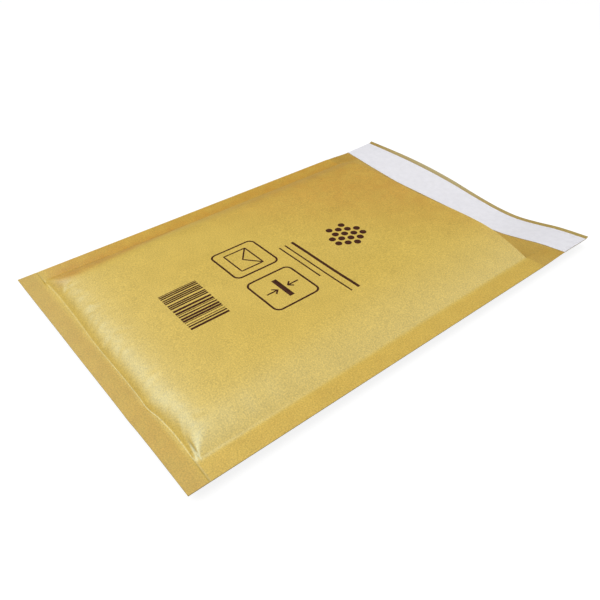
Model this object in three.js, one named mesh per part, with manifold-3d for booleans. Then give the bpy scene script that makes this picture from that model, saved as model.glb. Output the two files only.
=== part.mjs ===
// Padded mailing envelope, lying front side up with its flap open.
// A cover of folded paper, bonded flat along its sides and its hem, holds a pouch of bubble film.
// Glue under a white release liner runs along the flap.
// Millimetres, +Z up, +X across the front, +Y from the bottom hem to the flap.
// The origin is under the middle of the whole outline, on the surface that the envelope lies on.
import * as THREE from "three";
import { mergeVertices } from "three/addons/utils/BufferGeometryUtils.js";
import Module from "manifold-3d";

// Pocket, measured inside the paper and flat
const POCKET_WIDTH = 140;
const POCKET_LENGTH = 192;

// Bonded borders and flap of the paper cover
const SIDE_SEAM = 10;
const HEM = 9.5;
const FLAP = 39.5;

// Layers, and the gap that is kept between two of them
const PAPER = 0.4;
const LINING = 3;
const GLUE = 0.3;
const LINER = 0.3;
const CLEARANCE = 0.3;

// Strips on the flap
const LINER_WIDTH = 19.5;
const GLUE_WIDTH = 14;
const GLUE_INSET = 4;
const FLAP_LIP = 2;

// Form of the pocket: a wall leaves the bonded edge and levels off after its reach.
// It stands up steeply from the hem crease, and rises from the side seams in a low arch.
const SEAM_HEIGHT = 6.5;
const HEM_RISE = 7;
const HEM_REACH = 28;
const HEM_CURVE = 5;
const MOUTH_RISE = 7.6;
const MOUTH_REACH = 34;
const SIDE_REACH = 22;
const SIDE_CURVE = 2;

// Where each layer begins, measured inwards from the bonded edge
const SEAL_LIP = 1;
const LINING_MARGIN = 3;
const POCKET_MARGIN = 8;
const LINING_SETBACK = 3;
const POCKET_SLIT = 0.3;

// Scored fold between the back panel and the flap
const SCORE_DEPTH = 0.1;
const SCORE_WIDTH = 0.6;
const SCORE_NICK = 0.5;
const SCORE_ROOT = 6;

// Form of the flap: it lies low behind the mouth and curls up to its outer edge, which stands clear
// of the table and dips to it in one valley
const FLAP_CURL = 2.2;
const FLAP_EDGE_HEIGHT = 7.2;
const FLAP_DIP_HEIGHT = 0.3;
const FLAP_DIP_X = 37;
const FLAP_DIP_LEFT = 85;
const FLAP_DIP_RIGHT = 36;

// Sizes of the facets: on the shoulders, on the level middle, along the pocket and on the flap
const SHOULDER_FACET = 7;
const MIDDLE_FACET = 7;
const LONG_FACET = 24;
const FLAP_FACET = 2.5;

// Places that follow from the sizes
const HALF_POCKET = POCKET_WIDTH / 2;
const HALF_WIDTH = HALF_POCKET + SIDE_SEAM;
const TOTAL_LENGTH = HEM + POCKET_LENGTH + FLAP;
const HEM_EDGE_Y = -TOTAL_LENGTH / 2;
const CREASE_Y = HEM_EDGE_Y + HEM;
const MOUTH_Y = CREASE_Y + POCKET_LENGTH;
const FLAP_EDGE_Y = MOUTH_Y + FLAP;
const LINER_MIDDLE_Y = FLAP_EDGE_Y - FLAP_LIP - LINER_WIDTH / 2;
const BACK_DROP = SEAM_HEIGHT - PAPER;

const wasm = await Module();
wasm.setup();

// Share of its full height that a wall has reached at a distance inwards from where it starts
function levelled(distance, reach, curve) {
  const left = 1 - THREE.MathUtils.clamp(distance / reach, 0, 1);
  return 1 - left ** curve;
}

// Share of the full height between the hem crease and the two side seams
function pillow(x, y, sideReach) {
  const fromSeam = levelled(HALF_POCKET - Math.abs(x), sideReach, SIDE_CURVE);
  const fromCrease = levelled(y - CREASE_Y, HEM_REACH, HEM_CURVE);
  return fromSeam * fromCrease;
}

// Height of the front wall's inner face above the seams, and depth of the back wall's below them
function frontRise(x, y) {
  const along = THREE.MathUtils.smoothstep(y, CREASE_Y, MOUTH_Y);
  const rise = THREE.MathUtils.lerp(HEM_RISE, MOUTH_RISE, along);
  const reach = THREE.MathUtils.lerp(SIDE_REACH, MOUTH_REACH, along);
  return rise * pillow(x, y, reach);
}
function backDrop(x, y) {
  return BACK_DROP * pillow(x, y, SIDE_REACH);
}

// Height of the flap's outer edge across the envelope
function flapEdge(x) {
  const halfWidth = x < FLAP_DIP_X ? FLAP_DIP_LEFT : FLAP_DIP_RIGHT;
  const away = Math.min(Math.abs(x - FLAP_DIP_X) / halfWidth, 1);
  const dip = (1 + Math.cos(Math.PI * away)) / 2;
  return THREE.MathUtils.lerp(FLAP_EDGE_HEIGHT, FLAP_DIP_HEIGHT, dip);
}

// Underside and upper face of the sheet that is the back panel up to the mouth and the flap past it
function sheetUnder(x, y) {
  const root = SEAM_HEIGHT - PAPER - backDrop(x, Math.min(y, MOUTH_Y));
  const along = THREE.MathUtils.clamp((y - MOUTH_Y) / FLAP, 0, 1) ** FLAP_CURL;
  return THREE.MathUtils.lerp(root, flapEdge(x), along);
}
function sheetOver(x, y) {
  return sheetUnder(x, y) + PAPER;
}

// Lines at most a step apart, from one place to another
function evenLines(from, to, step) {
  const count = Math.max(Math.ceil((to - from) / step), 1);
  return Array.from({ length: count + 1 }, (_, k) => from + ((to - from) * k) / count);
}

// Distances from a bonded edge at which the facets of every layer turn
function shoulderSteps() {
  const steps = [0, SEAL_LIP, LINING_MARGIN];
  for (let step = POCKET_MARGIN; step < HEM_REACH; step += SHOULDER_FACET) steps.push(step);
  return steps;
}

// Lines across a layer of the envelope, from one side of the layer to the other
function linesAcross(halfWidth) {
  const shoulder = shoulderSteps().map((step) => HALF_POCKET - step);
  const level = shoulder.pop();
  const middle = evenLines(-level, level, MIDDLE_FACET);
  const lines = [...shoulder.map((x) => -x), ...middle, ...shoulder.toReversed()];
  return [-halfWidth, ...lines.filter((x) => Math.abs(x) < halfWidth), halfWidth];
}

// Lines along a layer of the envelope, from one end of the layer to the other
function linesAlong(from, to) {
  const shoulder = shoulderSteps().map((step) => CREASE_Y + step);
  const level = shoulder.pop();
  const lines = [...shoulder, ...evenLines(level, MOUTH_Y - SCORE_ROOT, LONG_FACET), MOUTH_Y];
  return [from, ...lines.filter((y) => y > from && y < to), to];
}

// Lines along the flap and the bands on it, from one end of the layer to the other
function linesAlongFlap(from, to) {
  const linerStart = LINER_MIDDLE_Y - LINER_WIDTH / 2;
  const linerEnd = LINER_MIDDLE_Y + LINER_WIDTH / 2;
  const root = evenLines(MOUTH_Y + SCORE_ROOT, linerStart, FLAP_FACET);
  const lines = [...root.slice(0, -1), ...evenLines(linerStart, linerEnd, FLAP_FACET)];
  return [from, ...lines.filter((y) => y > from && y < to), to];
}

// A closed panel on a grid of lines, with its two faces formed to two surfaces
function formedPanel(xLines, yLines, underside, upperside) {
  const columns = xLines.length - 1;
  const rows = yLines.length - 1;
  const geometry = new THREE.BoxGeometry(columns, rows, 1, columns, rows, 1);
  const position = geometry.getAttribute("position");
  for (let k = 0; k < position.count; k++) {
    const x = xLines[Math.round(position.getX(k) + columns / 2)];
    const y = yLines[Math.round(position.getY(k) + rows / 2)];
    const surface = position.getZ(k) > 0 ? upperside : underside;
    position.setXYZ(k, x, y, surface(x, y));
  }
  geometry.deleteAttribute("normal");
  geometry.deleteAttribute("uv");
  return mergeVertices(geometry);
}

// A geometry as a solid that can be joined and cut, and back
function solid(geometry) {
  const vertProperties = geometry.getAttribute("position").array;
  const triVerts = new Uint32Array(geometry.index.array);
  return new wasm.Manifold(new wasm.Mesh({ numProp: 3, vertProperties, triVerts }));
}
function geometryOf(body) {
  const { vertProperties, triVerts } = body.getMesh();
  const geometry = new THREE.BufferGeometry();
  geometry.setAttribute("position", new THREE.BufferAttribute(vertProperties, 3));
  geometry.setIndex(new THREE.BufferAttribute(triVerts, 1));
  return geometry;
}

function part(name, geometry, material) {
  const mesh = new THREE.Mesh(geometry, material);
  mesh.name = name;
  geometry.computeVertexNormals();
  return mesh;
}

// Paper cover: both panels and the bonded borders as one block, hollowed, with the flap on its back panel
function paperCover() {
  const block = formedPanel(
    linesAcross(HALF_WIDTH),
    linesAlong(HEM_EDGE_Y, MOUTH_Y),
    sheetUnder,
    (x, y) => SEAM_HEIGHT + PAPER + frontRise(x, y),
  );
  const hollow = formedPanel(
    linesAcross(HALF_POCKET - SEAL_LIP),
    linesAlong(CREASE_Y + SEAL_LIP, MOUTH_Y + SCORE_ROOT),
    (x, y) => SEAM_HEIGHT - backDrop(x, y),
    (x, y) => SEAM_HEIGHT + frontRise(x, y),
  );
  const flapStart = MOUTH_Y + SCORE_WIDTH;
  const rootEnd = MOUTH_Y + SCORE_ROOT;
  const flap = formedPanel(
    linesAcross(HALF_WIDTH),
    linesAlongFlap(flapStart, FLAP_EDGE_Y),
    sheetUnder,
    sheetOver,
  );
  const score = formedPanel(
    linesAcross(HALF_WIDTH - SCORE_NICK),
    [MOUTH_Y - SCORE_ROOT, MOUTH_Y, flapStart, rootEnd],
    (x, y) => sheetUnder(x, y) + SCORE_DEPTH,
    (x, y) => sheetOver(x, y) - SCORE_DEPTH,
  );
  return geometryOf(solid(block).subtract(solid(hollow)).add(solid(score)).add(solid(flap)));
}

// Bubble lining: a pouch that follows the cover's inner faces and is open at the mouth
function bubbleLining() {
  const end = MOUTH_Y - LINING_SETBACK;
  const inset = CLEARANCE + LINING;
  const pouch = formedPanel(
    linesAcross(HALF_POCKET - LINING_MARGIN),
    linesAlong(CREASE_Y + LINING_MARGIN, end),
    (x, y) => SEAM_HEIGHT - backDrop(x, y) + CLEARANCE,
    (x, y) => SEAM_HEIGHT + frontRise(x, y) - CLEARANCE,
  );
  const pocket = formedPanel(
    linesAcross(HALF_POCKET - POCKET_MARGIN),
    linesAlong(CREASE_Y + POCKET_MARGIN, MOUTH_Y),
    (x, y) => SEAM_HEIGHT - Math.max(backDrop(x, y) - inset, POCKET_SLIT / 2),
    (x, y) => SEAM_HEIGHT + Math.max(frontRise(x, y) - inset, POCKET_SLIT / 2),
  );
  return geometryOf(solid(pouch).subtract(solid(pocket)));
}

// A band along the flap, laid on its upper face at a height above it
function flapBand(halfLength, width, height, thickness) {
  return formedPanel(
    linesAcross(halfLength),
    linesAlongFlap(LINER_MIDDLE_Y - width / 2, LINER_MIDDLE_Y + width / 2),
    (x, y) => sheetOver(x, y) + height,
    (x, y) => sheetOver(x, y) + height + thickness,
  );
}

const goldPaper = new THREE.MeshStandardMaterial({ color: 0xcfb466, roughness: 0.75, metalness: 0 });
const bubbleFilm = new THREE.MeshStandardMaterial({ color: 0xd8dcd8, roughness: 0.25, metalness: 0 });
const glue = new THREE.MeshStandardMaterial({ color: 0xe9e2c4, roughness: 0.4, metalness: 0 });
const coatedPaper = new THREE.MeshStandardMaterial({ color: 0xeeecf2, roughness: 0.45, metalness: 0 });

const linerHeight = CLEARANCE + GLUE + CLEARANCE;
const envelope = new THREE.Group();
envelope.add(part("paper_cover", paperCover(), goldPaper));
envelope.add(part("bubble_lining", bubbleLining(), bubbleFilm));
envelope.add(part("adhesive_strip", flapBand(HALF_WIDTH - GLUE_INSET, GLUE_WIDTH, CLEARANCE, GLUE), glue));
envelope.add(part("release_liner", flapBand(HALF_WIDTH, LINER_WIDTH, linerHeight, LINER), coatedPaper));

export default envelope;
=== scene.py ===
# %% [markdown]
# # A padded envelope of gold paper
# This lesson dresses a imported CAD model. The frame gives the sizes and the places, and it is never moved.
# Each piece of the real envelope is made again here with the form and the finish that the eye sees, and
# stands for its CAD node.

# %% Load the frame
import math

import bmesh
import bpy
import numpy as np
from mathutils import Matrix, Vector


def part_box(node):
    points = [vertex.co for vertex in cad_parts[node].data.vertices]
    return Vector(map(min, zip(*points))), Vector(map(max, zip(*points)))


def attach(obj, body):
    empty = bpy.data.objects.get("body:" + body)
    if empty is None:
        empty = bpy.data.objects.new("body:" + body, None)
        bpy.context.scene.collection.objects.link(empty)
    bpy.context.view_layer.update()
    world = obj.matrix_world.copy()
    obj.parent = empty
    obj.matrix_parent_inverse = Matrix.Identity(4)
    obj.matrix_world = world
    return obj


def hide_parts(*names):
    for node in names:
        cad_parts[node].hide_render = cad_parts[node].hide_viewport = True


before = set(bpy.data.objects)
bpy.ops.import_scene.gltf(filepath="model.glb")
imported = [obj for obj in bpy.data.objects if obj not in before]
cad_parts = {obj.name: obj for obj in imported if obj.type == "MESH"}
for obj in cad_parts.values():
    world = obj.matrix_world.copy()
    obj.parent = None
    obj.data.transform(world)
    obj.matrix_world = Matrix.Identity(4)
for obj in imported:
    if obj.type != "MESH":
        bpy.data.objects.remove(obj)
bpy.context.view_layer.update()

scene = bpy.context.scene
scene.view_settings.view_transform = "Standard"
print("nodes in the frame:", sorted(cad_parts))

# %% [markdown]
# ## Sizes
# The outline of each piece is read from its CAD box. The bonded borders and the flap repeat the named
# sizes of the CAD source. Lengths are kept in millimetres while a form is worked out, and turned into
# metres when its mesh is made.

# %% Sizes in millimetres
MM = 0.001
cover_low, cover_high = (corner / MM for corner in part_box("paper_cover"))
lining_low, lining_high = (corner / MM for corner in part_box("bubble_lining"))
glue_low, glue_high = (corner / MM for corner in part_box("adhesive_strip"))
liner_low, liner_high = (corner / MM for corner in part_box("release_liner"))
SIDE_SEAM, HEM, FLAP = 10, 9.5, 39.5
SEAM_HEIGHT = 6.5
HALF_WIDTH = cover_high.x
HALF_POCKET = HALF_WIDTH - SIDE_SEAM
HEM_EDGE, FLAP_EDGE = cover_low.y, cover_high.y
CREASE, MOUTH = HEM_EDGE + HEM, FLAP_EDGE - FLAP
PAPER = 0.18
print(f"outline {2 * HALF_WIDTH:.1f} x {FLAP_EDGE - HEM_EDGE:.1f} mm")
print(f"pocket {2 * HALF_POCKET:.1f} x {MOUTH - CREASE:.1f} mm")

# %% [markdown]
# ## How the sheet bends
# A flat sheet of paper can be described by two numbers, u across and v along. A form is then a rule that
# gives the place in space of each (u, v). Rules are a good way to make a folded sheet, because the front,
# the lining behind it and the print on it can all follow the same one. First come four small shapes that
# the rules are put together from.

# %% Small shapes for the rules
def ease(t):
    t = np.clip(t, 0, 1)
    return t * t * (3 - 2 * t)


def bump(t):
    return np.exp(-t * t)


def levelled(distance, reach, curve):
    return 1 - (1 - np.clip(distance / reach, 0, 1)) ** curve


def through(x, *stops):
    """A smooth line through stops, each a place and a value."""
    place, value = np.array(stops, float).T
    slope = np.gradient(value, place)
    k = np.clip(np.searchsorted(place, x) - 1, 0, len(place) - 2)
    width = place[k + 1] - place[k]
    t = np.clip((x - place[k]) / width, 0, 1)
    bend = slope[k] * width * t * (1 - t) ** 2 - slope[k + 1] * width * t**2 * (1 - t)
    return value[k] + (value[k + 1] - value[k]) * ease(t) + bend


shares = [round(float(levelled(d, 28, 5)), 2) for d in (2, 5, 10, 20)]
print("a wall of reach 28 is at", shares, "of its height at 2, 5, 10 and 20 mm")

# %% [markdown]
# ## The pocket's form
# The pocket is a flat pillow. Its front wall stands up steeply from the hem, where the folded padding
# pushes against the crease, and rises from the side seams in an arch that is lower towards the mouth. The
# two rises are shares of the full height. The lower of the two counts, and a soft mitre runs along the
# diagonal where they meet, as it does on a cushion. The hem wall is made of two curves, a short steep one
# for the shoulder and a long one behind it that levels off slowly. The front edge of the mouth sags.

# %% Rise of the front, drop of the back
HEM_RISE, MOUTH_RISE = 7.0, 7.6
SIDE_REACH, SIDE_CURVE = 22, 2
MOUTH_REACH_LEFT, MOUTH_REACH_RIGHT = 26, 42
WALL_REACH, WALL_CURVE = 13, 3.4
SLOPE_REACH, SLOPE_CURVE, SLOPE_SHARE = 45, 3.5, 0.56
BACK_REACH, BACK_CURVE = 28, 5
FOOT_SOFTNESS, MITRE = 0.2, 0.25
SAG, SAG_MIDDLE, SAG_WIDTH, SAG_LENGTH = 1.2, -2, 18, 34


def hem_foot(u):
    """Distance from the crease at which the front wall starts to stand up."""
    left = [(-70, 0.1), (-56, 0.9), (-40, 0.7), (-20, 0.2), (0, 0)]
    right = [(30, 0), (45, 0.3), (58, 0.4), (70, 0)]
    return through(u, *left, *right)


def past(distance, softness):
    """Zero before a place and the distance after it, with a soft start."""
    return (distance + np.sqrt(distance**2 + softness**2)) / 2


def hem_profile(u, d):
    foot = hem_foot(u)
    inside = np.maximum(past(d - foot, FOOT_SOFTNESS) - past(-foot, FOOT_SOFTNESS), 0)
    wall = levelled(inside, WALL_REACH, WALL_CURVE)
    slope = levelled(inside, SLOPE_REACH, SLOPE_CURVE)
    return wall * (1 - SLOPE_SHARE) + slope * SLOPE_SHARE


def mitred(a, b):
    """The lower of two shares, with a soft diagonal where they meet."""
    near = np.maximum(MITRE - abs(a - b), 0) / MITRE
    return (np.minimum(a, b) - MITRE / 4 * near**2) / (1 - MITRE / 4)


def front_rise(u, v):
    along = ease((v - CREASE) / (MOUTH - CREASE))
    at_mouth = np.where(u < 0, MOUTH_REACH_LEFT, MOUTH_REACH_RIGHT)
    side = levelled(HALF_POCKET - abs(u), SIDE_REACH + (at_mouth - SIDE_REACH) * along, SIDE_CURVE)
    sag = SAG * bump((u - SAG_MIDDLE) / SAG_WIDTH) * bump((MOUTH - v) / SAG_LENGTH)
    return (HEM_RISE + (MOUTH_RISE - HEM_RISE) * along) * mitred(side, hem_profile(u, v - CREASE)) - sag


def back_drop(u, v):
    side = levelled(HALF_POCKET - abs(u), SIDE_REACH, SIDE_CURVE)
    hem = levelled(v - CREASE, BACK_REACH, BACK_CURVE)
    return (SEAM_HEIGHT - PAPER) * side * hem


print(f"front middle stands {front_rise(np.array(0.0), np.array(0.0)):.1f} mm above the seams")

# %% [markdown]
# ## Creases and dents
# The finer marks of handling make paper look like paper: a raised ridge where the hem was pressed, a score
# that runs on into both seams, a pinched fold in the lower right corner, short wrinkles over the shoulder
# of the hem wall and shallow waves over the front. The ridge isn't straight, so the sheet also slides a
# little in its own plane there. Such marks could be bump in the material, but as geometry they catch the
# light from every side and stay part of the mesh.

# %% Marks on the front, and the slide of the sheet in its plane
WRINKLES, WRINKLE_SEED = 90, 5
WRINKLE_TURN, WRINKLE_LENGTH, WRINKLE_WIDTH = (-70, 70), (2, 6), (0.6, 1.1)
WRINKLE_ACROSS, WRINKLE_FROM_CREASE, WRINKLE_HEIGHT = (-62, 64), (2, 11), (-0.15, 0.13)
RIDGE, RIDGE_MORE, RIDGE_WIDTH = 0.02, 0.04, 0.45
SCORE, SCORE_WIDTH = 0.08, 0.3
PINCH_SLANT, PINCH_START = 0.06, 64
WAVE, RIPPLE, PUCKER, SLIDE_REACH = 0.22, 0.12, 0.06, 7


def hem_wave(u):
    """How far the pressed fold lies from a straight crease."""
    left = [(-80, 0), (-50, -0.2), (-30, -0.3), (-10, -0.8), (20, -0.9)]
    nick = [(31, -1.2), (37, -1.6), (43, -0.7), (52, -0.3), (66, -0.5), (80, -1)]
    return through(u, *left, *nick)


def hem_wrinkles(u, d):
    """Short soft wrinkles that cross the shoulder of the hem wall."""
    rng = np.random.default_rng(WRINKLE_SEED)
    height = 0
    for _ in range(WRINKLES):
        turn = math.radians(rng.uniform(*WRINKLE_TURN))
        from_u, from_d = u - rng.uniform(*WRINKLE_ACROSS), d - rng.uniform(*WRINKLE_FROM_CREASE)
        along = from_u * math.sin(turn) + from_d * math.cos(turn)
        across = from_u * math.cos(turn) - from_d * math.sin(turn)
        size = bump(along / rng.uniform(*WRINKLE_LENGTH)) * bump(across / rng.uniform(*WRINKLE_WIDTH))
        height = height + rng.uniform(*WRINKLE_HEIGHT) * size
    return height * ease(d / 3) * ease((66 - u) / 10)


def dent(u, d, depth, middle, size):
    """A soft dent with its middle and its half size, across and from the crease."""
    return -depth * bump((u - middle[0]) / size[0]) * bump((d - middle[1]) / size[1])


def slanted(u, d):
    """Distance from the crease, for the pinched fold that runs at a slant to it."""
    return d + PINCH_SLANT * (u - PINCH_START)


def front_marks(u, v):
    d, a = v - CREASE, HALF_POCKET - abs(u)
    inside = ease((a - 1) / 8)
    pressed = (RIDGE + RIDGE_MORE * ease((u - 5) / 30)) * (0.7 + 0.3 * np.sin(0.5 * u))
    ridge = pressed * inside * bump((d + 0.35) / RIDGE_WIDTH)
    score = -SCORE * bump(d / SCORE_WIDTH) * (1 - inside)
    tuck = dent(u, d, depth=0.45, middle=(-68.3, 0.2), size=(1.3, 0.5))
    nick = dent(u, d, depth=0.3, middle=(37.5, 0.6), size=(1.2, 0.8))
    pinch = dent(u, slanted(u, d), depth=0.35, middle=(66, 2.2), size=(3, 0.4))
    waves = WAVE * np.sin(0.062 * u + 0.034 * v + 1.3) * np.sin(0.041 * v - 0.045 * u + 0.4)
    waves += RIPPLE * np.sin(0.13 * u - 0.021 * v + 2.1) * np.sin(0.074 * v + 0.03 * u)
    pucker = PUCKER * np.sin(0.55 * v + 1.7 * np.sin(0.06 * v)) * bump((a - 7) / 5) * ease((d - 10) / 20)
    level = ease((d - 14) / 30) * ease(a / 30)
    return ridge + score + tuck + nick + pinch + waves * level + pucker + hem_wrinkles(u, d)


def slide(u, v):
    return hem_wave(u) * bump((v - CREASE) / SLIDE_REACH)


fold_line = hem_wave(np.array([-40.0, 0.0, 37.0])).round(1)
print("the pressed fold is", fold_line, "mm off the straight crease at the left, the middle and the nick")

# %% [markdown]
# ## The flap
# The flap is the back panel's own paper, past the fold at the mouth. Two lines across it give its form:
# one where the liner starts and one at the outer edge, which dips to the table in a valley right of the
# middle. Between the mouth and the first line the sheet opens out of the pocket's curve, and past it the
# sheet curls up. The lip past the liner curls a little more.

# %% Underside of the sheet that is the back panel and the flap
FLAP_MIDDLE, FLAP_CURVE = 18, 1.4
FOLD, FOLD_WIDTH = 0.25, 0.6
LIP, LIP_CURL = 2.2, 0.9


def flap_middle(u):
    """Height of the flap where the liner starts."""
    left = [(-80, 5.7), (-72, 5.0), (-62, 3.9), (-50, 2.8), (-38, 1.8), (-16, 1.4)]
    right = [(12, 1.1), (34, 0.1), (44, 1.0), (53, 2.6), (66, 5.2), (80, 6.9)]
    return through(u, *left, *right)


def flap_edge(u):
    """Height of the flap's outer edge."""
    left = [(-80, 6.4), (-60, 6.8), (-46, 6.8), (-33, 6.4), (-20, 5.5), (-8, 4.3), (4, 2.6)]
    right = [(16, 1.1), (27, 0.2), (38, 0.2), (51, 2.1), (62, 4.3), (80, 6.4)]
    return through(u, *left, *right)


def sheet_under(u, v):
    root = SEAM_HEIGHT - PAPER - back_drop(u, np.minimum(v, MOUTH))
    near = ease((v - MOUTH) / FLAP_MIDDLE)
    far = np.clip((v - MOUTH - FLAP_MIDDLE) / (FLAP - FLAP_MIDDLE), 0, 1) ** FLAP_CURVE
    fold = FOLD * bump((v - MOUTH) / FOLD_WIDTH) * (HALF_WIDTH - abs(u)) / HALF_WIDTH
    low = root + (flap_middle(u) - root) * near
    lip = LIP_CURL * np.clip((v - FLAP_EDGE + LIP) / LIP, 0, 1) ** 2
    return low + (flap_edge(u) - flap_middle(u)) * far + fold + lip


edge_heights = flap_edge(np.array([-60.0, 33.0, 80.0])).round(1)
print("flap's edge above the table at the left, in the valley and at the right:", edge_heights)

# %% [markdown]
# ## Meshes from grids
# A patch of sheet is a grid of points whose lines lie close together where the paper bends sharply. One
# helper spaces the lines, two turn grids of vertex numbers into faces, and two make closed objects. They
# get their normals from Blender's own recalculation, and the print says whether every edge has two faces.

# %% Helpers for grids
SHARP = math.radians(50)


def graded(start, stop, fine, coarse, reach):
    """Places from start to stop, a fine step apart at first and a coarse step apart after the reach."""
    places = [start]
    while abs(stop - places[-1]) > 1e-6:
        left = abs(stop - places[-1])
        step = fine + (coarse - fine) * min(abs(places[-1] - start) / reach, 1)
        step = left if left < 1.5 * step else step
        places.append(places[-1] + math.copysign(step, stop - start))
    return np.array(places)


def quads(ids):
    return np.stack([ids[:-1, :-1], ids[:-1, 1:], ids[1:, 1:], ids[1:, :-1]], -1).reshape(-1, 4).tolist()


def ribbon(a, b):
    return [[a[k], a[k + 1], b[k + 1], b[k]] for k in range(len(a) - 1)]


def closed_piece(name, points, faces, edge_faces, materials):
    """A smooth closed mesh from points in millimetres. Edge faces take the second material."""
    bm = bmesh.new()
    vertices = [bm.verts.new(point) for point in np.asarray(points) * MM]
    for k, group in enumerate((faces, edge_faces)):
        for face in group:
            made = bm.faces.new([vertices[i] for i in face])
            made.material_index = min(k, len(materials) - 1)
            made.smooth = True
    bmesh.ops.delete(bm, geom=[v for v in bm.verts if not v.link_faces], context="VERTS")
    bmesh.ops.recalc_face_normals(bm, faces=bm.faces)
    open_edges = sum(len(e.link_faces) != 2 for e in bm.edges)
    mesh = bpy.data.meshes.new(name)
    bm.to_mesh(mesh)
    bm.free()
    mesh.set_sharp_from_angle(angle=SHARP)
    for material in materials:
        mesh.materials.append(material)
    piece = bpy.data.objects.new(name, mesh)
    scene.collection.objects.link(piece)
    print(f"{name}: {len(mesh.polygons)} faces, {open_edges} edges without two faces")
    return piece


def slab(name, lower, upper, materials):
    """A thin closed sheet between two grids of points."""
    rows, columns = lower.shape[:2]
    low = np.arange(rows * columns).reshape(rows, columns)
    high = low + rows * columns
    rims = ribbon(low[0], high[0]) + ribbon(low[-1], high[-1])
    rims += ribbon(low[:, 0], high[:, 0]) + ribbon(low[:, -1], high[:, -1])
    points = np.concatenate([lower.reshape(-1, 3), upper.reshape(-1, 3)])
    return closed_piece(name, points, quads(low) + quads(high), rims, materials)


print("steps from 0 to 10 mm:", np.diff(graded(0, 10, fine=0.5, coarse=2, reach=6)).round(2))

# %% [markdown]
# ## Materials
# Every finish starts from what the real material is. One function turns a written colour into Blender's
# linear numbers, and one adds a node with its settings and its links. Patterns are laid out in
# millimetres on Object coordinates, so that their grain stays the right size on the envelope.

# %% Colours and nodes
def linear(text):
    parts = [int(text[k : k + 2], 16) / 255 for k in (1, 3, 5)]
    return (*[p / 12.92 if p <= 0.04045 else ((p + 0.055) / 1.055) ** 2.4 for p in parts], 1)


def add(tree, kind, sockets=(), **settings):
    """Adds a node and gives its outputs. A value that is an output becomes a link, a list several."""
    node = tree.nodes.new(kind)
    for name, value in settings.items():
        setattr(node, name, value)
    for key, value in dict(sockets).items():
        for one in value if isinstance(value, list) else [value]:
            if isinstance(one, bpy.types.NodeSocket):
                tree.links.new(one, node.inputs[key])
            else:
                node.inputs[key].default_value = one
    return node.outputs


def new_material(name):
    material = bpy.data.materials.new(name)
    material.use_nodes = True
    material.node_tree.nodes.clear()
    return material, material.node_tree


def per_mm(grain):
    """Scale of a noise texture on Object coordinates, in metres, for grains of that many millimetres."""
    return 1 / (grain * MM)


print("mid grey in linear numbers:", round(linear("#808080")[0], 3), "and scale of 1 mm grains:", per_mm(1))

# %% [markdown]
# ### Gold paper
# Kraft paper, dyed gold and glazed on one side by a hot roll. It gives the eye a warm satin surface with a
# fine grain of fibres, and pale, slightly cool highlights where the glaze turns towards a lamp. The dye
# isn't even: the paper is more orange in patches along the bonded borders, where the film has melted into
# it. Painted shade also makes the colour darker and more orange over the hem, on the slope of the far side,
# which faces away from the lamps, and towards one corner of the mouth, where little sheen falls. The inner
# face of the flap is browner, partly because it has no glaze and partly by painted shade under the mouth's
# edge and on the curled lip. The score and the pinched fold get a thin line of painted shade. The borders
# are smoother, because a hot bar pressed them. All of this comes from attributes of the mesh, so the tint
# multiplies the grain instead of covering it. The grain is drawn about 0.6 mm wide, coarser than real
# fibres, so that it shows.

# %% Glazed kraft paper
gold_paper, tree = new_material("kraft_paper_glazed_gold")
place = add(tree, "ShaderNodeTexCoord")["Object"]
speckle = {"Vector": place, "Scale": per_mm(0.6), "Detail": 2, "Roughness": 0.6}
fibres = add(tree, "ShaderNodeTexNoise", speckle)["Fac"]
clouds = add(tree, "ShaderNodeTexNoise", {"Vector": place, "Scale": per_mm(9), "Detail": 2})["Fac"]
mottle = add(tree, "ShaderNodeMixRGB", {0: 0.15, 1: fibres, 2: clouds})[0]
gold = add(tree, "ShaderNodeValToRGB", {"Fac": mottle})
ends = gold[0].node.color_ramp.elements
ends[0].position, ends[0].color = 0.3, linear("#BC9A25")
ends[1].position, ends[1].color = 0.7, linear("#ECC854")
# Painted shade: the attribute read here makes the sheet darker and more orange over the hem, the far slope
# and towards one corner of the mouth, besides the orange patches of the bonded borders.
warmth = add(tree, "ShaderNodeAttribute", attribute_name="warmth")["Fac"]
patches = add(tree, "ShaderNodeTexNoise", {"Vector": place, "Scale": per_mm(6), "Detail": 2})["Fac"]
patches = add(tree, "ShaderNodeMapRange", {"Value": patches, 1: 0.3, 2: 0.65, "To Min": 0.6})[0]
share = add(tree, "ShaderNodeMath", {0: warmth, 1: patches}, operation="MULTIPLY")[0]
tint = {0: share, 1: gold[0], 2: linear("#F3D694")}
orange = add(tree, "ShaderNodeMixRGB", tint, blend_type="MULTIPLY")[0]
# Painted shade: the attribute read here turns the hem, the score and the pinched fold browner. On the
# flap's inner face and lip that brown is partly their own unglazed colour and partly painted shade.
brownness = add(tree, "ShaderNodeAttribute", attribute_name="brownness")["Fac"]
brown = add(tree, "ShaderNodeMixRGB", {0: brownness, 1: orange, 2: linear("#8A7430")})[0]
rough = {"Height": fibres, "Strength": 0.25, "Distance": 0.05 * MM}
grain = add(tree, "ShaderNodeBump", rough)[0]
sealed = add(tree, "ShaderNodeAttribute", attribute_name="sealed")["Fac"]
ironed = add(tree, "ShaderNodeMapRange", {"Value": sealed, "To Min": 0.45, "To Max": 0.35})[0]
satin = {"Base Color": brown, "Roughness": ironed, "IOR": 1.79, "Specular IOR Level": 1, "Normal": grain}
satin["Specular Tint"] = linear("#CFFBFF")
paper = add(tree, "ShaderNodeBsdfPrincipled", satin)
add(tree, "ShaderNodeOutputMaterial", {"Surface": paper[0]})
print(gold_paper.name, "has", len(tree.nodes), "nodes")

# %% [markdown]
# The cut edge of the paper has no glaze. It gives the eye a dull, paler line of pulp along the hem and
# the flap.

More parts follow.
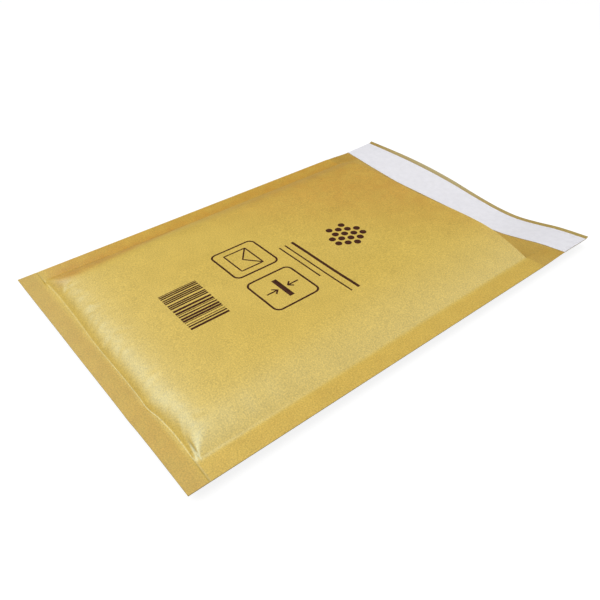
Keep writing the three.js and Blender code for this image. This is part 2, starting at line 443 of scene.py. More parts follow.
# %% Cut edge of the paper
paper_edge, tree = new_material("kraft_paper_cut_edge")
place = add(tree, "ShaderNodeTexCoord")["Object"]
pulp = add(tree, "ShaderNodeTexNoise", {"Vector": place, "Scale": per_mm(1.2), "Detail": 2})
brown = add(tree, "ShaderNodeValToRGB", {"Fac": pulp["Fac"]})
ends = brown[0].node.color_ramp.elements
ends[0].color, ends[1].color = linear("#A98F4E"), linear("#C4A860")
edge = add(tree, "ShaderNodeBsdfPrincipled", {"Base Color": brown[0], "Roughness": 0.85})
add(tree, "ShaderNodeOutputMaterial", {"Surface": edge[0]})
print(paper_edge.name, "has", len(tree.nodes), "nodes")

# %% [markdown]
# ## The paper cover
# On the real envelope the cover is one sheet, folded double and bonded along three borders. It could be
# two flat panels, but then the bonded seam would be a crack. Here it is one closed skin: the outer faces
# of the front and of the back, the inner faces of the pocket, which meet along the bond, and the flap.

# %% Grid lines of the cover
seam_lines = np.linspace(HALF_WIDTH, HALF_POCKET, 9)[:-1]
half_lines = np.concatenate([seam_lines, graded(HALF_POCKET, 0, fine=0.7, coarse=1.15, reach=20)])
U = np.concatenate([-half_lines, half_lines[-2::-1]])
fold_low, fold_high = CREASE - 1.5, CREASE + 3
V = np.concatenate(
    [
        np.linspace(HEM_EDGE, fold_low, 8)[:-1],
        np.linspace(fold_low, fold_high, 19)[:-1],
        graded(fold_high, MOUTH - 3, fine=0.35, coarse=2.5, reach=40),
        [MOUTH - 2, MOUTH - 1, MOUTH],
        graded(MOUTH, FLAP_EDGE, fine=0.4, coarse=1.7, reach=6)[1:],
    ]
)
mouth_row = int(np.argmin(abs(V - MOUTH)))
crease_row = int(np.argmin(abs(V - CREASE)))
pocket_columns = np.flatnonzero(abs(U) <= HALF_POCKET + 1e-6)
first, last = int(pocket_columns[0]), int(pocket_columns[-1])
u, v = np.meshgrid(U, V)
print("grid of the cover:", u.shape, "front rows", mouth_row + 1)


# %% Faces of the cover
def at(z):
    return np.stack([u, v + slide(u, v), z], -1)


rise, marks = np.maximum(front_rise(u, v), 0), front_marks(u, v)
from_bond = np.minimum(v - CREASE, HALF_POCKET - abs(u))
under = sheet_under(u, v)
layers = {
    "front_out": at(SEAM_HEIGHT + PAPER + rise + marks)[: mouth_row + 1],
    "front_in": at(SEAM_HEIGHT + rise + marks * ease(from_bond / 2))[: mouth_row + 1],
    "back_out": at(under),
    "back_in": at(under + PAPER),
}
ids, points = {}, []
for name, layer in layers.items():
    ids[name] = sum(map(len, points)) + np.arange(layer.shape[0] * layer.shape[1]).reshape(layer.shape[:2])
    points.append(layer.reshape(-1, 3))
front_in = ids["front_in"][crease_row:, first : last + 1]
back_in = ids["back_in"][crease_row : mouth_row + 1, first : last + 1]
back_in[0], back_in[:, 0], back_in[:, -1] = front_in[0], front_in[:, 0], front_in[:, -1]
front, back = ids["front_out"], ids["back_out"]
flap = ids["back_in"][mouth_row:]
lip = np.concatenate([flap[0, :first], front_in[-1], flap[0, last + 1 :]])
skin = quads(front) + quads(back) + quads(front_in) + quads(back_in) + quads(flap)
rims = ribbon(front[0], back[0]) + ribbon(front[-1], lip) + ribbon(flap[-1], back[-1])
for side in (0, -1):
    rims += ribbon(front[:-1, side], back[:mouth_row, side]) + ribbon(flap[:, side], back[mouth_row:, side])
    above = [front[-2, side], front[-1, side], flap[0, side]]
    below = back[mouth_row - 1 : mouth_row + 1, side]
    rims.append([*above, *below[::-1]])
cover = closed_piece("cover", np.concatenate(points), skin, rims, [gold_paper, paper_edge])

# %% [markdown]
# The uneven tone follows the sheet, so it is stored on the mesh as attributes that the paper's material
# reads. One is for the orange patches along the bonded borders, and for painted shade over the hem, the
# slope of the far side and towards one corner of the mouth. One is for the brown of the flap's inner face
# and lip, partly their own unglazed colour and partly painted shade, and for painted shade on the hem, in
# the score and in the pinched fold. "sealed" is for the borders that the hot bar has ironed smooth.

# %% Where the dye is warmer or browner, where shade is painted, and where the paper is smoother
BORDER_WARMTH, HEM_SHADE_WARMTH, DRIFT_SHADE, ROOT_WARMTH_AND_SHADE = 0.25, 0.5, 0.78, 0.6
HEM_SHADE, FLAP_BROWN_AND_SHADE, LIP_BROWN_AND_SHADE, SCORE_SHADE, PINCH_SHADE = 0.12, 0.2, 0.35, 0.4, 0.6
BAND_AT_HEM, BAND_AT_MOUTH = 52, 64
spots = np.array([vertex.co for vertex in cover.data.vertices]) / MM
facing_up = np.array([vertex.normal.z for vertex in cover.data.vertices]) > 0
across, along, from_hem = spots[:, 0], spots[:, 1], spots[:, 1] - CREASE
inwards = np.minimum(from_hem, HALF_POCKET - abs(across))
on_border = BORDER_WARMTH * ease((1.5 - inwards) / 5) * (along < MOUTH + 1)
# Painted shade: the hem below the crease is made darker and more orange than the rest of the sheet.
on_hem = ease(-from_hem / 3)
# Painted shade: the slope of the far side, which faces away from the lamps, is made darker and more orange,
# in a band that reaches further in near the hem.
band = BAND_AT_HEM + (BAND_AT_MOUTH - BAND_AT_HEM) * ease((from_hem - 10) / 90)
far_slope_shade = ease((-across - band) / 8) * ease(from_hem / 6) * (1 - 0.3 * ease((-across - 72) / 5))
# Painted shade: darker and more orange towards the mouth's corner on the far side, where less sheen falls.
mouth_corner_shade = DRIFT_SHADE * ease((along - across) / 95)
# The flap's inner face is warmer and browner, partly its own unglazed colour and partly painted shade under
# the mouth's edge. The curled lip past the liner gets more of both.
past_mouth = ease((along - MOUTH) / 1.5) * facing_up
past_liner = ease((along - liner_high.y + 0.3) / 0.4) * facing_up
flap_root = ROOT_WARMTH_AND_SHADE * past_mouth * (1 - past_liner)
# Painted shade: a thin dark line in the score outside the pocket and in the pinched fold at the lower right
# corner.
from_fold = from_hem - hem_wave(across)
scored = SCORE_SHADE * bump(from_fold / 0.35) * ease((abs(across) - HALF_POCKET + 4) / 4)
pinched = -dent(across, slanted(across, from_fold), depth=PINCH_SHADE, middle=(65, 2.2), size=(4, 0.35))
flap_face = FLAP_BROWN_AND_SHADE * past_mouth + LIP_BROWN_AND_SHADE * past_liner
tints = {
    "warmth": np.max([on_border, HEM_SHADE_WARMTH * on_hem, far_slope_shade, mouth_corner_shade, flap_root], axis=0),
    "brownness": HEM_SHADE * on_hem + flap_face + (scored + pinched) * facing_up,
    "sealed": ease(-inwards / 2),
}
for name, values in tints.items():
    attribute = cover.data.attributes.new(name, "FLOAT", "POINT")
    attribute.data.foreach_set("value", values.astype(np.float32))
    print(f"{name}: {values.min():.2f} to {values.max():.2f}")
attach(cover, "root")
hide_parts("paper_cover")

# %% [markdown]
# ## The release liner and the glue
# A strip of silicone-coated white paper covers a line of tacky glue near the flap's edge. Both follow the
# flap, so they are thin slabs over the same rule. The coated paper gives the eye a cool, even white with
# hardly any grain. The glue is a shiny amber film, and only its edge can be seen.

# %% Coated paper and glue
coated_paper, tree = new_material("release_paper_silicone_coated")
place = add(tree, "ShaderNodeTexCoord")["Object"]
pulp = add(tree, "ShaderNodeTexNoise", {"Vector": place, "Scale": per_mm(3), "Detail": 3})
white = add(tree, "ShaderNodeValToRGB", {"Fac": pulp["Fac"]})
ends = white[0].node.color_ramp.elements
ends[0].position, ends[0].color = 0.3, linear("#E3E2E7")
ends[1].position, ends[1].color = 0.7, linear("#E9E8ED")
coated = add(tree, "ShaderNodeBsdfPrincipled", {"Base Color": white[0], "Roughness": 0.5, "IOR": 1.4})
add(tree, "ShaderNodeOutputMaterial", {"Surface": coated[0]})

glue_film, tree = new_material("hot_melt_glue_tacky")
place = add(tree, "ShaderNodeTexCoord")["Object"]
streaks = add(tree, "ShaderNodeTexNoise", {"Vector": place, "Scale": per_mm(4)})
amber = add(tree, "ShaderNodeValToRGB", {"Fac": streaks["Fac"]})
ends = amber[0].node.color_ramp.elements
ends[0].color, ends[1].color = linear("#D9CFA4"), linear("#EAE3C6")
tack = add(tree, "ShaderNodeBsdfPrincipled", {"Base Color": amber[0], "Roughness": 0.3})
add(tree, "ShaderNodeOutputMaterial", {"Surface": tack[0]})
print("strips are made of", coated_paper.name, "and", glue_film.name)


# %% Strips on the flap
def flap_strip(name, low, high, bottom, top, materials):
    su, sv = np.meshgrid(np.linspace(low.x, high.x, 90), np.linspace(low.y, high.y, 14))
    paper_top = sheet_under(su, sv) + PAPER
    under, over = (np.stack([su, sv, paper_top + lift], -1) for lift in (bottom, top))
    return slab(name, under, over, materials)


glue = flap_strip("glue_strip", glue_low, glue_high, bottom=0.02, top=0.1, materials=[glue_film])
liner = flap_strip("liner_strip", liner_low, liner_high, bottom=0.12, top=0.26, materials=[coated_paper])
for piece, node, slot in ((glue, "adhesive_strip", "glue"), (liner, "release_liner", "coated_paper")):
    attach(piece, "root")
    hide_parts(node)

# %% [markdown]
# ## The bubble lining
# Two films of polyethylene, one flat and one with rows of round pockets of air, are bonded together and
# folded into a pouch. The flat side is against the paper, so the bubbles show only through the mouth. The
# film gives the eye pale, milky, glossy domes, a little crinkled, with a hint of the gold paper behind
# them. The flat film is one folded slab between the same two rules as the paper, and it closes towards
# its bonded sides.

# %% Polyethylene film
bubble_film, tree = new_material("polyethylene_film_bubbled")
place = add(tree, "ShaderNodeTexCoord")["Object"]
haze = add(tree, "ShaderNodeTexNoise", {"Vector": place, "Scale": per_mm(5), "Detail": 2})
milk = add(tree, "ShaderNodeValToRGB", {"Fac": haze["Fac"]})
ends = milk[0].node.color_ramp.elements
ends[0].position, ends[0].color = 0.3, linear("#EFEBDA")
ends[1].position, ends[1].color = 0.7, linear("#FBF9F0")
crinkle = add(tree, "ShaderNodeTexNoise", {"Vector": place, "Scale": per_mm(1.5), "Detail": 2})
crinkle = {"Height": crinkle["Fac"], "Strength": 0.3, "Distance": 0.15 * MM}
crinkle = add(tree, "ShaderNodeBump", crinkle)[0]
clear = {"Base Color": milk[0], "Roughness": 0.2, "IOR": 1.5, "Alpha": 0.75, "Normal": crinkle}
film = add(tree, "ShaderNodeBsdfPrincipled", clear)
add(tree, "ShaderNodeOutputMaterial", {"Surface": film[0]})
print(bubble_film.name, "has", len(tree.nodes), "nodes")

# %% The folded film
FILM, FILM_GAP, HALF_BOND = 0.25, 0.15, 0.1
FOLD_BULGE, FOLD_ROOM, CLOSING, THINNEST = 1.2, 4.5, 3, 0.2
lining_mouth, lining_hem, lining_half = lining_high.y, lining_low.y, lining_high.x
rows = graded(lining_hem + FOLD_ROOM, lining_mouth, fine=1.2, coarse=5, reach=40)
cu, cv = np.meshgrid(np.linspace(-lining_half, lining_half, 61), rows)
closing = ease((lining_half - abs(cu)) / CLOSING)
room_above = front_rise(cu, cv) + np.minimum(front_marks(cu, cv), 0) - FILM_GAP - HALF_BOND
room_below = back_drop(cu, cv) - FILM_GAP - HALF_BOND
wall_front = SEAM_HEIGHT + HALF_BOND + np.maximum(room_above, 0) * closing
wall_back = SEAM_HEIGHT - HALF_BOND - np.maximum(room_below, 0) * closing
thickness = FILM * np.maximum(closing, THINNEST)
cy = cv + slide(cu, cv)
outer = [np.stack([cu, cy, wall_front], -1)[::-1]]
inner = [np.stack([cu, cy, wall_front - thickness], -1)[::-1]]
middle, half = (wall_front[0] + wall_back[0]) / 2, (wall_front[0] - wall_back[0]) / 2
for turn in np.linspace(0, math.pi, 9)[1:-1]:
    for grids, inset, bulge in ((outer, 0, FOLD_BULGE), (inner, thickness[0], FOLD_BULGE - FILM)):
        fold_y, fold_z = cy[0] - bulge * math.sin(turn), middle + (half - inset) * math.cos(turn)
        grids.append(np.stack([cu[0], fold_y, fold_z], -1)[None])
outer.append(np.stack([cu, cy, wall_back], -1))
inner.append(np.stack([cu, cy, wall_back + thickness], -1))
lining = slab("bubble_film", np.concatenate(outer), np.concatenate(inner), [bubble_film])

# %% [markdown]
# The bubbles repeat, so Geometry Nodes make them. A tree is written once with named inputs, and run on a
# piece as a modifier whose result is kept as a plain mesh. Two groups of nodes serve the bubbles and
# later the print: a grid of points with every other row moved by half a step, which is a honeycomb, and
# a ray that looks straight up or down from each point.

# %% Helpers for node trees
def geometry_tree(name, **inputs):
    """A tree with named inputs. Returns it with the outputs of its input node."""
    tree = bpy.data.node_groups.new(name, "GeometryNodeTree")
    tree.interface.new_socket("Geometry", in_out="INPUT", socket_type="NodeSocketGeometry")
    tree.interface.new_socket("Geometry", in_out="OUTPUT", socket_type="NodeSocketGeometry")
    for label, kind in inputs.items():
        tree.interface.new_socket(label.replace("_", " "), in_out="INPUT", socket_type="NodeSocket" + kind)
    return tree, tree.nodes.new("NodeGroupInput").outputs


def apply_tree(piece, tree, **values):
    """Runs the tree on a piece and gives the result as a plain mesh."""
    modifier = piece.modifiers.new(tree.name, "NODES")
    modifier.node_group = tree
    for item in tree.interface.items_tree:
        label = item.name.replace(" ", "_")
        if item.in_out == "INPUT" and label in values:
            modifier[item.identifier] = values[label]
    evaluated = piece.evaluated_get(bpy.context.evaluated_depsgraph_get())
    mesh = bpy.data.meshes.new_from_object(evaluated)
    piece.modifiers.clear()
    return mesh


def honeycomb(tree, across, rows, pitch, middle):
    """Points in rows, every other row moved aside by half a step, about a middle point."""
    wide = add(tree, "ShaderNodeMath", {0: across, 1: -1}, operation="ADD")[0]
    long = add(tree, "ShaderNodeMath", {0: rows, 1: -1}, operation="ADD")[0]
    row_step = add(tree, "ShaderNodeMath", {0: pitch, 1: math.sqrt(0.75)}, operation="MULTIPLY")[0]
    wide = add(tree, "ShaderNodeMath", {0: wide, 1: pitch}, operation="MULTIPLY")[0]
    long = add(tree, "ShaderNodeMath", {0: long, 1: row_step}, operation="MULTIPLY")[0]
    sizes = {"Size X": wide, "Size Y": long, "Vertices X": across, "Vertices Y": rows}
    grid = add(tree, "GeometryNodeMeshGrid", sizes)["Mesh"]
    number = add(tree, "GeometryNodeInputIndex")[0]
    row = add(tree, "ShaderNodeMath", {0: number, 1: rows}, operation="MODULO")[0]
    odd = add(tree, "ShaderNodeMath", {0: row, 1: 2}, operation="MODULO")[0]
    aside = add(tree, "ShaderNodeMath", {0: odd, 1: -0.5}, operation="ADD")[0]
    aside = add(tree, "ShaderNodeMath", {0: aside, 1: pitch}, operation="MULTIPLY")[0]
    aside = add(tree, "ShaderNodeMath", {0: aside, 1: 0.5}, operation="MULTIPLY")[0]
    aside = add(tree, "ShaderNodeCombineXYZ", {"X": aside})[0]
    shift = add(tree, "ShaderNodeVectorMath", {0: aside, 1: middle})[0]
    return add(tree, "GeometryNodeSetPosition", {"Geometry": grid, "Offset": shift})[0]


def straight_up_or_down(tree, target, height, direction):
    """A ray from each point's place, at a height, along Z to a target."""
    xyz = add(tree, "ShaderNodeSeparateXYZ", {0: add(tree, "GeometryNodeInputPosition")[0]})
    start = add(tree, "ShaderNodeCombineXYZ", {"X": xyz["X"], "Y": xyz["Y"], "Z": height})[0]
    ray = {"Target Geometry": target, "Source Position": start, "Ray Length": 0.1}
    ray["Ray Direction"] = (0, 0, direction)
    return add(tree, "GeometryNodeRaycast", ray)


print("rows of a honeycomb of pitch 1 are", round(math.sqrt(0.75), 3), "apart")

# %% [markdown]
# One bubble is a short drum that narrows towards its top, like a button of air. It is made around the
# origin with its foot at zero, so that later only its height has to change.

# %% One bubble
TAPER = 0.45
numbers = {"Across": "Int", "Rows": "Int", "Pitch": "Float"}
sizes = {"Diameter": "Float", "Height": "Float", "Middle": "Vector"}
tree, given = geometry_tree("bubble_rows", **numbers, **sizes, Film="Material")
seeds = honeycomb(tree, given["Across"], given["Rows"], given["Pitch"], given["Middle"])
radius = add(tree, "ShaderNodeMath", {0: given["Diameter"], 1: 0.5}, operation="MULTIPLY")[0]
drum = {"Vertices": 14, "Side Segments": 3, "Fill Segments": 1, "Radius": radius, "Depth": given["Height"]}
drum = add(tree, "GeometryNodeMeshCylinder", drum)["Mesh"]
xyz = add(tree, "ShaderNodeSeparateXYZ", {0: add(tree, "GeometryNodeInputPosition")[0]})
share = add(tree, "ShaderNodeMath", {0: xyz["Z"], 1: given["Height"]}, operation="DIVIDE")[0]
share = add(tree, "ShaderNodeMath", {0: share, 1: 0.5}, operation="ADD")[0]
cubed = add(tree, "ShaderNodeMath", {0: share, 1: 3}, operation="POWER")[0]
narrow = add(tree, "ShaderNodeMath", {0: cubed, 1: -TAPER, 2: 1}, operation="MULTIPLY_ADD")[0]
lifted = add(tree, "ShaderNodeMath", {0: share, 1: given["Height"]}, operation="MULTIPLY")[0]
round_x = add(tree, "ShaderNodeMath", {0: xyz["X"], 1: narrow}, operation="MULTIPLY")[0]
round_y = add(tree, "ShaderNodeMath", {0: xyz["Y"], 1: narrow}, operation="MULTIPLY")[0]
domed = add(tree, "ShaderNodeCombineXYZ", {"X": round_x, "Y": round_y, "Z": lifted})[0]
bubble = add(tree, "GeometryNodeSetPosition", {"Geometry": drum, "Position": domed})[0]
print("a bubble's top is", 1 - TAPER, "of its foot's width")

# %% [markdown]
# Each point of the honeycomb gets one bubble on the front wall and one on the back wall. The bubbles are
# made flat, then every vertex of a bubble is moved by its own ray, so that the foot follows the bent wall.
# Where the walls come close together the bubbles are lower, and past that there are none.

# %% Bubbles on both walls
LEAST_ROOM, ROOM_USED = 0.45, 0.9
middle_z = add(tree, "ShaderNodeSeparateXYZ", {0: given["Middle"]})["Z"]
walls = [given["Geometry"]]
for direction in (1, -1):
    ray = straight_up_or_down(tree, given["Geometry"], middle_z, direction)
    hit, where, distance = ray["Is Hit"], ray["Hit Position"], ray["Hit Distance"]
    room = add(tree, "ShaderNodeMath", {0: distance, 1: given["Height"]}, operation="DIVIDE")[0]
    fits = add(tree, "ShaderNodeMath", {0: room, 1: LEAST_ROOM}, operation="GREATER_THAN")[0]
    fits = add(tree, "ShaderNodeMath", {0: fits, 1: hit}, operation="MULTIPLY")[0]
    placed = {"Points": seeds, "Selection": fits, "Instance": bubble}
    flat = add(tree, "GeometryNodeInstanceOnPoints", placed)[0]
    flat = add(tree, "GeometryNodeRealizeInstances", {0: flat})[0]
    tall = add(tree, "ShaderNodeMath", {0: room, 1: ROOM_USED}, operation="MULTIPLY")[0]
    tall = add(tree, "ShaderNodeMath", {0: tall, 1: 1}, operation="MINIMUM")[0]
    xyz = add(tree, "ShaderNodeSeparateXYZ", {0: add(tree, "GeometryNodeInputPosition")[0]})
    local = add(tree, "ShaderNodeMath", {0: xyz["Z"], 1: middle_z}, operation="SUBTRACT")[0]
    local = add(tree, "ShaderNodeMath", {0: local, 1: tall}, operation="MULTIPLY")[0]
    local = add(tree, "ShaderNodeMath", {0: local, 1: -direction}, operation="MULTIPLY")[0]
    inwards = add(tree, "ShaderNodeCombineXYZ", {"Z": local})[0]
    moved = {"Geometry": flat, "Position": where, "Offset": inwards}
    landed = add(tree, "GeometryNodeSetPosition", moved)[0]
    if direction > 0:
        landed = add(tree, "GeometryNodeFlipFaces", {0: landed})[0]
    walls.append(landed)
joined = add(tree, "GeometryNodeJoinGeometry", {0: walls})[0]
real = add(tree, "GeometryNodeRealizeInstances", {0: joined})[0]
smooth = add(tree, "GeometryNodeSetShadeSmooth", {0: real})[0]
finished = add(tree, "GeometryNodeSetMaterial", {"Geometry": smooth, "Material": given["Film"]})[0]
add(tree, "NodeGroupOutput", {0: finished})
print(tree.name, "has", len(tree.nodes), "nodes")

# %% The lining with its bubbles
BUBBLE_PITCH, BUBBLE_WIDTH, BUBBLE_HEIGHT = 11, 9.6, 2.6
BUBBLES_ACROSS, BUBBLE_ROWS, FROM_MOUTH = 11, 18, 7.3
rows_length = (BUBBLE_ROWS - 1) * BUBBLE_PITCH * math.sqrt(0.75)
lining_middle = (0, (lining_mouth - FROM_MOUTH - rows_length / 2) * MM, SEAM_HEIGHT * MM)
sizes = {"Diameter": BUBBLE_WIDTH * MM, "Height": BUBBLE_HEIGHT * MM, "Middle": lining_middle}
numbers = {"Across": BUBBLES_ACROSS, "Rows": BUBBLE_ROWS, "Pitch": BUBBLE_PITCH * MM}
lining.data = apply_tree(lining, tree, **numbers, **sizes, Film=bubble_film)
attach(lining, "root")
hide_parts("bubble_lining")
lowest = min(vertex.co.z for vertex in lining.data.vertices) / MM
print(f"lining has {len(lining.data.polygons)} faces, lowest {lowest:.2f} mm above the table")

# %% [markdown]
# ## The print
# The front is printed in one dark ink. Real ink lies in the paper, and it could be drawn in the paper's
# material, but as thin raised strokes it stays sharp at any distance. The strokes are drawn flat, as poly
# curves whose radius is half a line's width: a field of stripes, two framed signs, and plain rules. A
# honeycomb of dots stands above them. Geometry Nodes sweep the lines and lay them down on the paper.
# Flexo ink gives the eye an even, dull, nearly black brown. All places are in millimetres.

# %% Printing ink
ink, tree = new_material("flexo_ink_dark_brown")
place = add(tree, "ShaderNodeTexCoord")["Object"]
cover_of_ink = add(tree, "ShaderNodeTexNoise", {"Vector": place, "Scale": per_mm(0.8), "Detail": 2})
tone = add(tree, "ShaderNodeValToRGB", {"Fac": cover_of_ink["Fac"]})
ends = tone[0].node.color_ramp.elements
ends[0].position, ends[0].color = 0.35, linear("#3A1C10")
ends[1].position, ends[1].color = 0.75, linear("#4E2C1C")
matt = {"Base Color": tone[0], "Roughness": 0.6, "Specular IOR Level": 0.15}
dry = add(tree, "ShaderNodeBsdfPrincipled", matt)
add(tree, "ShaderNodeOutputMaterial", {"Surface": dry[0]})
print(ink.name, "has", len(tree.nodes), "nodes")

# %% Pens, and the field of stripes
drawing = bpy.data.curves.new("print_lines", "CURVE")
drawing.dimensions = "3D"


def stroke(line_width, *places, closed=False):
    spline = drawing.splines.new("POLY")
    spline.points.add(len(places) - 1)
    for point, (x, y) in zip(spline.points, places):
        point.co = (x * MM, y * MM, 0, 1)
        point.radius = line_width / 2 * MM
    spline.use_cyclic_u = closed


def rounded_frame(line_width, left, low, right, high, radius):
    places = []
    for x, y, start in ((right, high, 0), (left, high, 90), (left, low, 180), (right, low, 270)):
        cx = x - math.copysign(radius, x - (left + right) / 2)
        cy = y - math.copysign(radius, y - (low + high) / 2)
        for turn in range(0, 91, 15):
            angle = math.radians(start + turn)
            places.append((cx + radius * math.cos(angle), cy + radius * math.sin(angle)))
    stroke(line_width, *places, closed=True)


STRIPES_LEFT, STRIPES_RIGHT, STRIPES_LOW, STRIPES_HIGH = -13.0, 16.5, -79, -59.5
MODULE, STRIPES_SEED = 0.42, 11
rng = np.random.default_rng(STRIPES_SEED)
x = STRIPES_LEFT
while x < STRIPES_RIGHT:
    bar, gap = rng.choice([1, 1, 2, 2, 3]) * MODULE, rng.choice([1, 1, 2, 3]) * MODULE
    stroke(bar, (x + bar / 2, STRIPES_LOW), (x + bar / 2, STRIPES_HIGH))
    x += bar + gap
print("field of", len(drawing.splines), "stripes")

# %% [markdown]
# The two signs are generic. One is a letter in a frame, and the other is a thick bar between two arrows,
# which stands for thickness. Three rules beside them close the print.

# %% Signs and rules
BOLD, LINE, THIN = 1.5, 1.0, 0.8
SIGN_LOW, SIGN_HIGH, SIGN_CORNER = -44, -19.4, 3
sign_level = (SIGN_LOW + SIGN_HIGH) / 2
LETTER_SIGN, BAR_SIGN = (-24.6, -0.9), (5.4, 29.8)
sign_middle = sum(BAR_SIGN) / 2
for left, right in (LETTER_SIGN, BAR_SIGN):
    rounded_frame(LINE, left, SIGN_LOW, right, SIGN_HIGH, SIGN_CORNER)
LETTER_LEFT, LETTER_RIGHT, LETTER_LOW, LETTER_HIGH, LETTER_TIP = -20.5, -5, -38.5, -26, -32.6
letter_low = [(LETTER_LEFT, LETTER_LOW), (LETTER_RIGHT, LETTER_LOW)]
stroke(THIN, *letter_low, (LETTER_RIGHT, LETTER_HIGH), (LETTER_LEFT, LETTER_HIGH), closed=True)
tucked = LETTER_HIGH - THIN / 2
letter_tip = ((LETTER_LEFT + LETTER_RIGHT) / 2, LETTER_TIP)
stroke(THIN, (LETTER_LEFT + 0.3, tucked), letter_tip, (LETTER_RIGHT - 0.3, tucked))
HALF_BAR, BAR_LINE = 7.1, 2.6
ARROW_TIP, ARROW_TAIL, ARROW_SPREAD, ARROW_HALF_WIDTH = 2.9, 8.9, 2.2, 2
stroke(BAR_LINE, (sign_middle - HALF_BAR, sign_level), (sign_middle + HALF_BAR, sign_level))
for side in (1, -1):
    tip, tail = sign_level + ARROW_TIP * side, sign_level + ARROW_TAIL * side
    wing = tip + ARROW_SPREAD * side
    stroke(THIN, (sign_middle, tail), (sign_middle, tip + ARROW_SPREAD / 4 * side))
    wings = [(sign_middle + ARROW_HALF_WIDTH * turn, wing) for turn in (-1, 1)]
    stroke(THIN, wings[0], (sign_middle, tip), wings[1])
RULES_LEFT = -9
for line_width, y, right in ((BOLD, -5.2, 40), (THIN, -9.6, 40), (THIN, -13, 22)):
    stroke(line_width, (RULES_LEFT, y), (right, y))
print("print has", len(drawing.splines), "strokes")

# %% [markdown]
# Geometry Nodes sweep a square nib along the strokes and put the dots beside them. Then a ray looks down
# from each vertex to the paper: upper vertices come to lie just above it and lower ones just below it.

# %% Tree that lays strokes and dots on the paper
STROKE_CUTS, DOTS_ACROSS, DOTS_REACH = 9, 5, 2.1
ABOVE_ALL = 0.05
sizes = {"Ink_Height": "Float", "Pitch": "Float", "Diameter": "Float", "Middle": "Vector"}
tree, given = geometry_tree("print_on_paper", **sizes, Paper="Object", Ink="Material")
paper_mesh = add(tree, "GeometryNodeObjectInfo", {"Object": given["Paper"]})["Geometry"]
fine = add(tree, "GeometryNodeSubdivideCurve", {"Curve": given["Geometry"], "Cuts": STROKE_CUTS})[0]
nib = add(tree, "GeometryNodeCurvePrimitiveQuadrilateral", {"Width": 2, "Height": 2})[0]
half_width = add(tree, "GeometryNodeInputRadius")[0]
sweep = {"Curve": fine, "Profile Curve": nib, "Scale": half_width, "Fill Caps": True}
lines = add(tree, "GeometryNodeCurveToMesh", sweep)[0]
seeds = honeycomb(tree, DOTS_ACROSS, DOTS_ACROSS, given["Pitch"], given["Middle"])
seed_place = add(tree, "GeometryNodeInputPosition")[0]
span = add(tree, "ShaderNodeVectorMath", {0: seed_place, 1: given["Middle"]}, operation="DISTANCE")
reach = add(tree, "ShaderNodeMath", {0: given["Pitch"], 1: DOTS_REACH}, operation="MULTIPLY")[0]
within = {0: span["Value"], 1: reach}
within = add(tree, "ShaderNodeMath", within, operation="LESS_THAN")[0]
radius = add(tree, "ShaderNodeMath", {0: given["Diameter"], 1: 0.5}, operation="MULTIPLY")[0]
dot = {"Vertices": 24, "Radius": radius, "Depth": MM}
dot = add(tree, "GeometryNodeMeshCylinder", dot)["Mesh"]
placed = {"Points": seeds, "Selection": within, "Instance": dot}
dots = add(tree, "GeometryNodeInstanceOnPoints", placed)[0]
joined = add(tree, "GeometryNodeJoinGeometry", {0: [lines, dots]})[0]
real = add(tree, "GeometryNodeRealizeInstances", {0: joined})[0]
landing = straight_up_or_down(tree, paper_mesh, ABOVE_ALL, -1)["Hit Position"]
xyz = add(tree, "ShaderNodeSeparateXYZ", {0: add(tree, "GeometryNodeInputPosition")[0]})
upper = add(tree, "ShaderNodeMath", {0: xyz["Z"]}, operation="SIGN")[0]
above = add(tree, "ShaderNodeMath", {0: upper, 1: given["Ink Height"]}, operation="MULTIPLY")[0]
above = add(tree, "ShaderNodeCombineXYZ", {"Z": above})[0]
laid = {"Geometry": real, "Position": landing, "Offset": above}
laid = add(tree, "GeometryNodeSetPosition", laid)[0]
finished = add(tree, "GeometryNodeSetMaterial", {"Geometry": laid, "Material": given["Ink"]})[0]
add(tree, "NodeGroupOutput", {0: finished})
print(tree.name, "has", len(tree.nodes), "nodes")

# %% The print on the front
INK_HEIGHT, DOT_PITCH, DOT_WIDTH, DOTS_MIDDLE = 0.05, 4.8, 3.6, (3.9, 20)
sketch = bpy.data.objects.new("print_sketch", drawing)
scene.collection.objects.link(sketch)
sizes = {"Ink_Height": INK_HEIGHT * MM, "Pitch": DOT_PITCH * MM, "Diameter": DOT_WIDTH * MM}
sizes["Middle"] = (DOTS_MIDDLE[0] * MM, DOTS_MIDDLE[1] * MM, 0)
printed = apply_tree(sketch, tree, **sizes, Paper=cover, Ink=ink)
bpy.data.objects.remove(sketch)
print_piece = bpy.data.objects.new("front_print", printed)
scene.collection.objects.link(print_piece)
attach(print_piece, "root")
print("print has", len(printed.polygons), "faces")

# %% [markdown]
# ## The studio
# A pale floor and a dim, even world. Both show white to the camera, because Light Path tells them who is
# looking, and both give the envelope only a modest light. The floor still takes its soft shadow.

# %% Floor
TABLE_RADIUS, TABLE_CORNERS = 0.9, 96
FLOOR_GLOW, FLOOR_GREY = 0.85, 0.22


def seen_directly(tree):
    """One for rays straight from the camera, also through clear things, and zero for all others."""
    rays = add(tree, "ShaderNodeLightPath")
    direct = {0: rays["Is Camera Ray"], 1: rays["Is Transmission Ray"]}
    return add(tree, "ShaderNodeMath", direct, operation="MAXIMUM")[0]


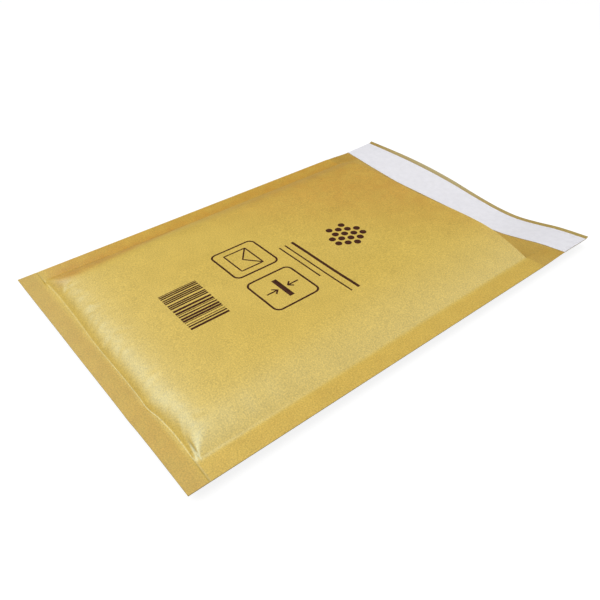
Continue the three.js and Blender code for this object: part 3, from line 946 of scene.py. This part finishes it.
turns = np.linspace(0, 2 * math.pi, TABLE_CORNERS, endpoint=False)
rim = [(TABLE_RADIUS * math.cos(turn), TABLE_RADIUS * math.sin(turn), 0) for turn in turns]
floor_mesh = bpy.data.meshes.new("floor")
floor_mesh.from_pydata(rim, [], [list(range(TABLE_CORNERS))])
floor = bpy.data.objects.new("floor", floor_mesh)
scene.collection.objects.link(floor)
floor_white, tree = new_material("floor_white")
glow = {0: seen_directly(tree), 1: FLOOR_GLOW}
glow = add(tree, "ShaderNodeMath", glow, operation="MULTIPLY")[0]
glow = add(tree, "ShaderNodeEmission", {"Strength": glow})[0]
matt = add(tree, "ShaderNodeBsdfDiffuse", {"Color": (FLOOR_GREY, FLOOR_GREY, FLOOR_GREY, 1)})[0]
both = add(tree, "ShaderNodeAddShader", {0: glow, 1: matt})[0]
add(tree, "ShaderNodeOutputMaterial", {"Surface": both})
floor_mesh.materials.append(floor_white)
print(f"floor is {2 * TABLE_RADIUS} m wide")

# %% World
WORLD_LIGHT = 0.12
scene.world = bpy.data.worlds.new("studio")
scene.world.use_nodes = True
tree = scene.world.node_tree
tree.nodes.clear()
level = {"Value": seen_directly(tree), "To Min": WORLD_LIGHT, "To Max": 1}
level = add(tree, "ShaderNodeMapRange", level)[0]
sky = add(tree, "ShaderNodeBackground", {"Color": (1, 1, 1, 1), "Strength": level})[0]
add(tree, "ShaderNodeOutputWorld", {"Surface": sky})
print("world lights the envelope with", WORLD_LIGHT)

# %% [markdown]
# Six soft lamps, all of them plain square area lights, with places and widths in metres and power in
# watts. Satin paper shows a lamp where it faces halfway between the lamp and the eye, and that decides
# the places. A wide lamp overhead and one in front light the whole sheet without a shine. One on the left
# shines on the shoulder of the hem wall, a weak one beside it gives the pale haze behind that shoulder,
# and a weak one at the back gives the band along the slope of the near side. The last is low, so that it
# looks into the mouth.

# %% Lamps
def softbox(name, place, width, power):
    lamp = bpy.data.lights.new(name, "AREA")
    lamp.shape, lamp.size, lamp.energy = "SQUARE", width, power
    box = bpy.data.objects.new(name, lamp)
    box.location = place
    box.rotation_euler = (-box.location).to_track_quat("-Z", "Y").to_euler()
    scene.collection.objects.link(box)


softbox("softbox_top", place=(0.1, 0.3, 1.2), width=2.0, power=3.2)
softbox("softbox_front", place=(0.15, -0.38, 1.05), width=0.9, power=9.2)
softbox("softbox_left", place=(-0.52, -0.5, 0.68), width=0.5, power=2.4)
softbox("softbox_side", place=(-0.76, -0.1, 0.64), width=0.4, power=0.4)
softbox("softbox_back", place=(0.25, 0.74, 0.62), width=0.4, power=0.65)
softbox("softbox_mouth", place=(0.7, 0.7, 0.25), width=0.5, power=2.2)

# %% [markdown]
# ## The camera
# The photographed outline is a true rectangle, so its four corners give the lens, the place and the tilt
# of the camera. The place is in millimetres, with its height counted from the seams.

# %% Camera at the photographed angle
FOCAL_PIXELS, IMAGE_PIXELS, SENSOR = 623.9, 600, 36
YAW, PITCH, ROLL = (math.radians(angle) for angle in (51.66, 37.98, 1.53))
EYE = Vector((200.8, -166.8, 177.4))
ahead = Vector((-math.sin(YAW) * math.cos(PITCH), math.cos(YAW) * math.cos(PITCH), -math.sin(PITCH)))
right = Vector((math.cos(YAW), math.sin(YAW), 0))
down = ahead.cross(right)
right, down = math.cos(ROLL) * right + math.sin(ROLL) * down, math.cos(ROLL) * down - math.sin(ROLL) * right
camera = bpy.data.objects.new("camera", bpy.data.cameras.new("camera"))
camera.data.sensor_width = SENSOR
camera.data.lens = SENSOR * FOCAL_PIXELS / IMAGE_PIXELS
camera.data.clip_start = 0.01
turned = Matrix((right, -down, -ahead)).transposed().to_4x4()
camera.matrix_world = Matrix.Translation((EYE + Vector((0, 0, SEAM_HEIGHT))) * MM) @ turned
scene.collection.objects.link(camera)
scene.camera = camera
print(f"lens {camera.data.lens:.1f} mm")

# %% [markdown]
# ## The end
# The view layer is brought up to date.

# %% The end
bpy.context.view_layer.update()
